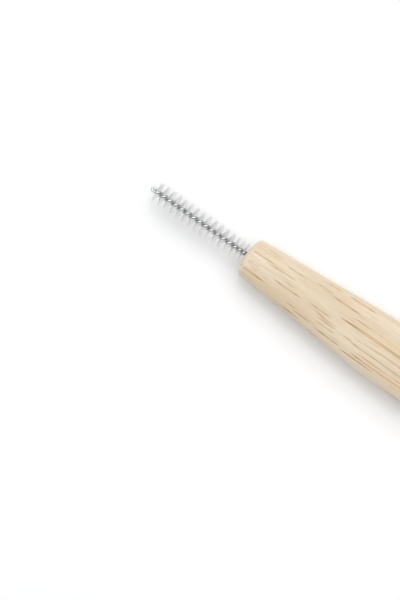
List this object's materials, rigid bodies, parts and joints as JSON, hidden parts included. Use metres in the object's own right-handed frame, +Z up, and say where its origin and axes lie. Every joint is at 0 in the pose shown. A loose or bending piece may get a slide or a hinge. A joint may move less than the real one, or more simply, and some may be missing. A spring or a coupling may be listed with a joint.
{
  "type": "interdental brush",
  "caption": "Interdental brush: clear bristles pinched in a twisted wire, glued into the domed nose of a tapered round bamboo handle.",
  "frame": {"origin": "on the surface that the brush lies on, under the middle of its length", "axes": "+X along the handle's axis towards its tail, with the brush at -X; +Z up from the surface; +Y across the handle"},
  "size_m": [0.0954, 0.0066, 0.0066],
  "materials": {
    "bamboo": "fine sanded bamboo, bare or lightly oiled, with long straight grain",
    "wire": "drawn stainless steel wire",
    "glue": "cured clear glue",
    "bristles": "clear to white nylon filament, slightly translucent"
  },
  "bodies": {
    "root": {"handle": "bamboo", "wire_core": "wire", "glue_sleeve": "glue", "bristle_turn_1": "bristles", "bristle_turn_2": "bristles", "bristle_turn_3": "bristles", "bristle_turn_4": "bristles", "bristle_turn_5": "bristles", "bristle_turn_6": "bristles", "bristle_turn_7": "bristles", "bristle_turn_8": "bristles"}
  },
  "joints": []
}
